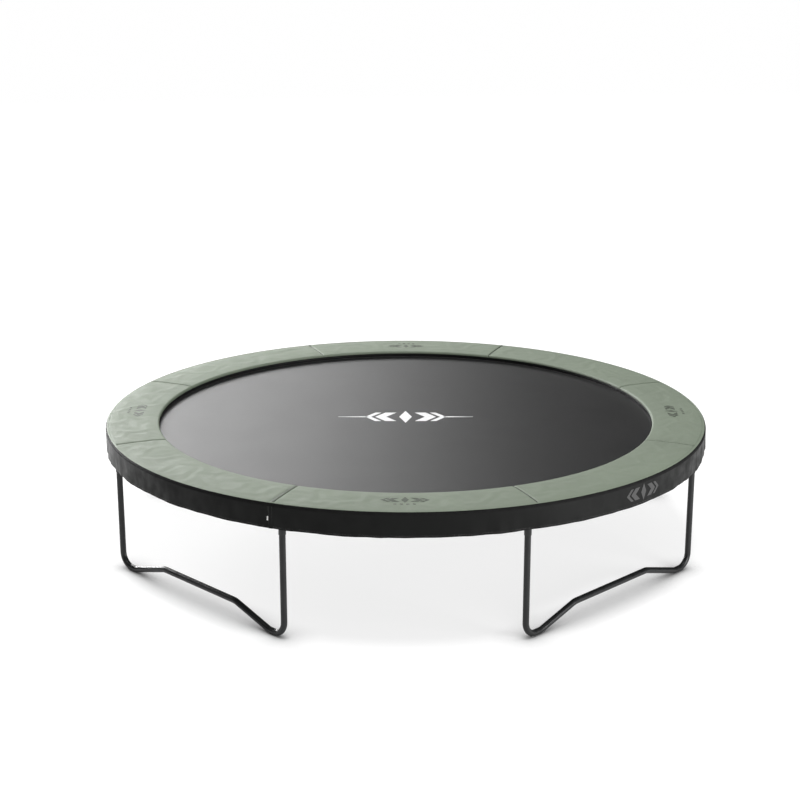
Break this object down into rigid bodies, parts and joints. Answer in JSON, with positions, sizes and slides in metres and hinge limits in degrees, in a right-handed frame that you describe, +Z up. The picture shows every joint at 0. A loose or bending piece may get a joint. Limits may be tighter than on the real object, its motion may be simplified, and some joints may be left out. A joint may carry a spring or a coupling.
{
  "type": "backyard trampoline",
  "caption": "Round backyard trampoline with a black jump mat, a green spring pad with a hanging black skirt, and bent-tube steel legs.",
  "frame": {"origin": "on the ground under the middle of the mat", "axes": "+Z up; each leg stands square to one of +X, +Y, -X and -Y"},
  "size_m": [4.344, 4.344, 0.9215],
  "materials": {
    "rail_black": "satin",
    "powder_black": "satin",
    "bolt_zinc": "satin",
    "spring_zinc": "satin",
    "mat_mesh": "satin",
    "pad_green": "satin",
    "skirt_black": "satin",
    "strap_black": "matte"
  },
  "bodies": {
    "frame": {"top_rail_1": "rail_black", "top_rail_2": "rail_black", "top_rail_3": "rail_black", "top_rail_4": "rail_black", "top_rail_5": "rail_black", "top_rail_6": "rail_black", "top_rail_7": "rail_black", "top_rail_8": "rail_black", "t_joint_1": "powder_black", "t_joint_2": "powder_black", "t_joint_3": "powder_black", "t_joint_4": "powder_black", "t_joint_5": "powder_black", "t_joint_6": "powder_black", "t_joint_7": "powder_black", "t_joint_8": "powder_black", "leg_1": "powder_black", "leg_2": "powder_black", "leg_3": "powder_black", "leg_4": "powder_black", "leg_bolt_1": "bolt_zinc", "leg_bolt_2": "bolt_zinc", "leg_bolt_3": "bolt_zinc", "leg_bolt_4": "bolt_zinc", "leg_bolt_5": "bolt_zinc", "leg_bolt_6": "bolt_zinc", "leg_bolt_7": "bolt_zinc", "leg_bolt_8": "bolt_zinc", "spring_bank_1": "spring_zinc", "spring_bank_2": "spring_zinc", "spring_bank_3": "spring_zinc", "spring_bank_4": "spring_zinc", "spring_bank_5": "spring_zinc", "spring_bank_6": "spring_zinc", "spring_bank_7": "spring_zinc", "spring_bank_8": "spring_zinc", "pad_panel_1": "pad_green", "pad_panel_2": "pad_green", "pad_panel_3": "pad_green", "pad_panel_4": "pad_green", "pad_panel_5": "pad_green", "pad_panel_6": "pad_green", "pad_panel_7": "pad_green", "pad_panel_8": "pad_green", "pad_strap_1": "strap_black", "pad_strap_2": "strap_black", "pad_strap_3": "strap_black", "pad_strap_4": "strap_black", "pad_strap_5": "strap_black", "pad_strap_6": "strap_black", "pad_strap_7": "strap_black", "pad_strap_8": "strap_black", "skirt_piece_1": "skirt_black", "skirt_piece_2": "skirt_black", "skirt_piece_3": "skirt_black", "skirt_piece_4": "skirt_black"},
    "mat": {"jump_mat": "mat_mesh"}
  },
  "joints": [
    {"name": "mat_bounce", "type": "slide", "parent": "frame", "child": "mat", "axis": [0, 0, 1], "range_m": [-0.45, 0], "stiffness_N_per_m": 5000, "springref_m": 0.02, "deforming": ["spring_bank_1", "spring_bank_2", "spring_bank_3", "spring_bank_4", "spring_bank_5", "spring_bank_6", "spring_bank_7", "spring_bank_8"]}
  ]
}
